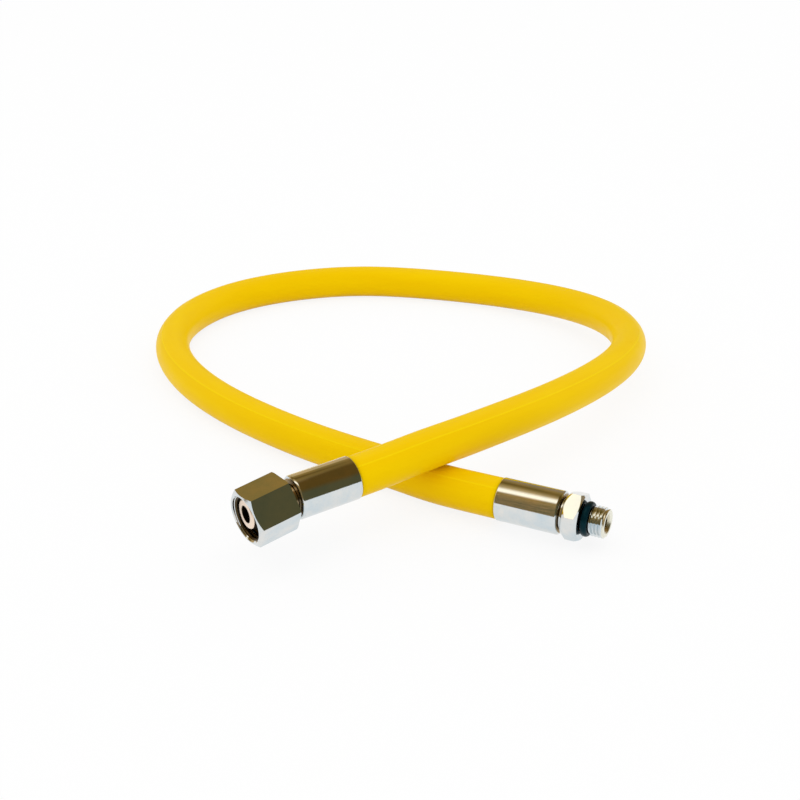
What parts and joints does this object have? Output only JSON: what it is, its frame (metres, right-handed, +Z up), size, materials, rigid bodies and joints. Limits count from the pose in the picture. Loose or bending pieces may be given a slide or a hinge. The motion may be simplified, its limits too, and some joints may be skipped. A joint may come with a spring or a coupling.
{
  "type": "low-pressure rubber hose",
  "caption": "Yellow rubber low-pressure hose lying in a crossed loop, with a loose hexagonal swivel nut on one crimped end and a threaded hexagonal port fitting on the other.",
  "frame": {"origin": "centre of the box's footprint, on the floor that the hose lies on", "axes": "+Z up from the floor, +Y from the two fittings towards the far side of the loop, +X towards the side of the male fitting"},
  "size_m": [0.19, 0.2468, 0.0268],
  "materials": {
    "hose_rubber": "smooth, slightly glossy",
    "chrome": "bright plated",
    "seal_rubber": "smooth, slightly glossy"
  },
  "bodies": {
    "hose": {"hose": "hose_rubber", "female_ferrule": "chrome", "female_stem": "chrome", "nose_o_ring": "seal_rubber", "male_ferrule": "chrome", "male_stem": "chrome", "port_o_ring": "seal_rubber"},
    "nut": {"swivel_nut": "chrome"}
  },
  "joints": [
    {"name": "nut_spin", "type": "hinge", "parent": "hose", "child": "nut", "pos_m": [-0.03403, -0.10923, 0.01705], "axis": [-0.7995, -0.5817, -0.1497], "continuous": true}
  ]
}
